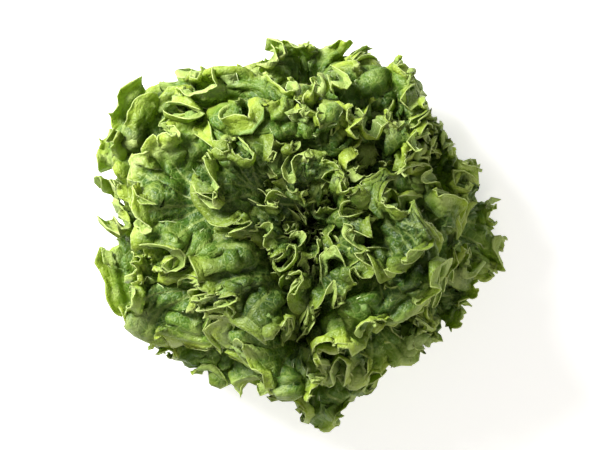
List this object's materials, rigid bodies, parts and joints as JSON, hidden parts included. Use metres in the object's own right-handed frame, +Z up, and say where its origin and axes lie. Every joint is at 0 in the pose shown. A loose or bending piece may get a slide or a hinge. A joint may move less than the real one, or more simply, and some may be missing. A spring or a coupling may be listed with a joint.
{
  "type": "green leaf lettuce head",
  "caption": "Whole loose-leaf lettuce head: ruffled green leaves in a spiral rosette round a short stem, cut flat at the butt on which it stands.",
  "frame": {"origin": "on the surface that the head stands on, under the middle of its footprint", "axes": "+Z up, out of the head; +X along the head's widest way, to the picture's right; +Y to the picture's top"},
  "size_m": [0.2871, 0.2672, 0.1558],
  "materials": {
    "stem_cream": "fresh cut stem, pale cream green, satin",
    "leaf_heart": "young leaf, pale green, satin waxy",
    "leaf_outer": "mature leaf, mid green, satin waxy",
    "leaf_inner": "inner leaf, light green, satin waxy"
  },
  "bodies": {
    "root": {"stem": "stem_cream", "heart": "leaf_heart", "leaf_01": "leaf_outer", "leaf_02": "leaf_outer", "leaf_03": "leaf_outer", "leaf_04": "leaf_outer", "leaf_05": "leaf_outer", "leaf_06": "leaf_outer", "leaf_07": "leaf_outer", "leaf_08": "leaf_outer", "leaf_09": "leaf_outer", "leaf_10": "leaf_outer", "leaf_11": "leaf_inner", "leaf_12": "leaf_inner", "leaf_13": "leaf_inner", "leaf_14": "leaf_inner", "leaf_15": "leaf_inner", "leaf_16": "leaf_inner", "leaf_17": "leaf_inner", "leaf_18": "leaf_inner", "leaf_19": "leaf_inner", "leaf_20": "leaf_inner"}
  },
  "joints": []
}
